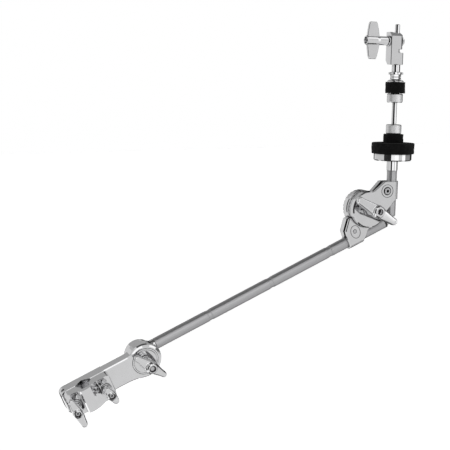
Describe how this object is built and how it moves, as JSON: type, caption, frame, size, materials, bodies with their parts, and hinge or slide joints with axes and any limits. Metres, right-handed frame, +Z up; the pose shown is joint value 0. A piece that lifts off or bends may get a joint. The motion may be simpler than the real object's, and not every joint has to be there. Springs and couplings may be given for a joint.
{
  "type": "clamp-on hi-hat boom arm",
  "caption": "Clamp-on boom arm for a closed pair of hi-hat cymbals: a jaw clamp and hinge, a round arm, a toothed tilter, and a stem with felts, pull rod and clutch",
  "frame": {"origin": "middle of the gap in the jaw clamp, on the axis of the stand tube that it grips", "axes": "+X to the right along the boom arm's plan, away from the clamp; +Y away from the wing nuts, to the back; +Z up"},
  "size_m": [0.4639, 0.0765, 0.4635],
  "materials": {
    "chrome": "polished chrome plate",
    "satin_steel": "satin plated steel tube",
    "steel": "plated steel hardware",
    "felt": "dense black wool felt",
    "rubber": "black rubber"
  },
  "bodies": {
    "clamp": {"clamp_frame": "chrome", "frame_grub_screw": "steel", "hub_cover_disc": "chrome", "hub_thrust_washer": "steel", "jaw_stud_left": "steel", "jaw_stud_right": "steel"},
    "saddle": {"jaw_saddle": "chrome"},
    "washer_left": {"jaw_washer_left": "steel"},
    "washer_right": {"jaw_washer_right": "steel"},
    "jaw_wing_left": {"jaw_wing_nut_left": "chrome"},
    "jaw_wing_right": {"jaw_wing_nut_right": "chrome"},
    "knuckle": {"boom_knuckle": "chrome", "knuckle_tooth_ring": "steel", "hub_pivot_bolt": "steel", "hub_spring_washer": "steel"},
    "hub_wing": {"hub_wing_nut": "chrome"},
    "boom": {"boom_tube": "satin_steel", "boom_end_ring": "rubber", "boom_end_cap": "chrome"},
    "tilter_base": {"base_bracket": "chrome", "base_tooth_ring": "steel", "base_clamp_bolt": "steel", "base_clamp_nut": "steel", "tilter_pivot_bolt": "steel", "tilter_spring": "steel", "tilter_washer": "steel"},
    "tilter_wing": {"tilter_wing_nut": "chrome"},
    "tilter_head": {"head_bracket": "chrome", "head_tooth_ring": "steel", "head_clamp_bolt": "steel", "head_clamp_nut": "steel"},
    "stem": {"stem_tube": "satin_steel"},
    "seat_post": {"seat_tube": "chrome", "pull_rod": "chrome", "seat_cup": "chrome", "seat_sleeve": "steel", "seat_felt_large": "felt", "seat_felt_small": "felt"},
    "seat_nut": {"seat_nut": "chrome"},
    "clutch_lower": {"clutch_sleeve": "chrome", "clutch_felt_lower": "felt", "clutch_felt_upper": "felt", "clutch_washer": "chrome", "clutch_jam_nut": "chrome"},
    "clutch_bottom_nut": {"clutch_bottom_nut": "chrome"},
    "clutch_lug_nut": {"clutch_lug_nut": "chrome"},
    "clutch_head": {"clutch_body": "chrome", "clutch_collar": "steel", "clutch_end_cap": "chrome"},
    "clutch_wing": {"clutch_wing_bolt": "chrome"}
  },
  "joints": [
    {"name": "clamp_tilt", "type": "hinge", "parent": "clamp", "child": "knuckle", "pos_m": [0.07001, 0.02573, 0.0339], "axis": [0.056, -0.9898, -0.1312], "range_deg": [-90, 90]},
    {"name": "hub_wing_turn", "type": "hinge", "parent": "knuckle", "child": "hub_wing", "pos_m": [0.07001, 0.02573, 0.0339], "axis": [0.056, -0.9898, -0.1312], "continuous": true},
    {"name": "boom_roll", "type": "hinge", "parent": "knuckle", "child": "boom", "pos_m": [0.0687, 0.02525, 0.03699], "axis": [0.9198, 0, 0.3923], "continuous": true},
    {"name": "tilter_slide", "type": "slide", "parent": "boom", "child": "tilter_base", "axis": [0.9198, 0, 0.3923], "range_m": [-0.2, 0.02]},
    {"name": "tilter_tilt", "type": "hinge", "parent": "tilter_base", "child": "tilter_head", "pos_m": [0.36907, 0.02525, 0.1986], "axis": [0, 1, 0], "range_deg": [-115, 0]},
    {"name": "tilter_wing_turn", "type": "hinge", "parent": "tilter_base", "child": "tilter_wing", "pos_m": [0.36907, 0.02525, 0.1986], "axis": [0, -1, 0], "continuous": true},
    {"name": "stem_slide", "type": "slide", "parent": "tilter_head", "child": "stem", "axis": [0.0192, 0, 0.9998], "range_m": [0, 0.02]},
    {"name": "stem_turn", "type": "hinge", "parent": "stem", "child": "seat_post", "pos_m": [0.40437, 0.0165, 0.19792], "axis": [0.0192, 0, 0.9998], "continuous": true},
    {"name": "seat_nut_turn", "type": "hinge", "parent": "seat_post", "child": "seat_nut", "pos_m": [0.40629, 0.0165, 0.2979], "axis": [0.0192, 0, 0.9998], "continuous": true},
    {"name": "clutch_slide", "type": "slide", "parent": "seat_post", "child": "clutch_lower", "axis": [0.0192, 0, 0.9998], "range_m": [-0.025, 0.008]},
    {"name": "clutch_bottom_nut_turn", "type": "hinge", "parent": "clutch_lower", "child": "clutch_bottom_nut", "pos_m": [0.40706, 0.0165, 0.3379], "axis": [0.0192, 0, 0.9998], "continuous": true},
    {"name": "clutch_lug_nut_turn", "type": "hinge", "parent": "clutch_lower", "child": "clutch_lug_nut", "pos_m": [0.40763, 0.0165, 0.36789], "axis": [0.0192, 0, 0.9998], "continuous": true},
    {"name": "clutch_turn", "type": "hinge", "parent": "clutch_lower", "child": "clutch_head", "pos_m": [0.40821, 0.0165, 0.39788], "axis": [0.0192, 0, 0.9998], "continuous": true},
    {"name": "clutch_wing_turn", "type": "hinge", "parent": "clutch_head", "child": "clutch_wing", "pos_m": [0.40843, 0.0165, 0.40928], "axis": [-0.9998, 0, 0.0192], "continuous": true},
    {"name": "jaw_open", "type": "slide", "parent": "clamp", "child": "saddle", "axis": [0.056, -0.9898, -0.1312], "range_m": [0, 0.009]},
    {"name": "left_washer_slide", "type": "slide", "parent": "clamp", "child": "washer_left", "axis": [-0.1524, -0.9644, -0.2161], "range_m": [0, 0.009]},
    {"name": "right_washer_slide", "type": "slide", "parent": "clamp", "child": "washer_right", "axis": [0.056, -0.9898, -0.1312], "range_m": [0, 0.0091]},
    {"name": "jaw_wing_left_turn", "type": "hinge", "parent": "washer_left", "child": "jaw_wing_left", "pos_m": [-0.01581, -0.00831, -0.00805], "axis": [-0.1524, -0.9644, -0.2161], "continuous": true},
    {"name": "jaw_wing_right_turn", "type": "hinge", "parent": "washer_right", "child": "jaw_wing_right", "pos_m": [0.01953, -0.00871, 0.00697], "axis": [0.056, -0.9898, -0.1312], "continuous": true}
  ],
  "couplings": [
    {"joint": "left_washer_slide", "follows": "jaw_open", "ratio": 0.9744},
    {"joint": "right_washer_slide", "follows": "jaw_open", "ratio": 1}
  ]
}
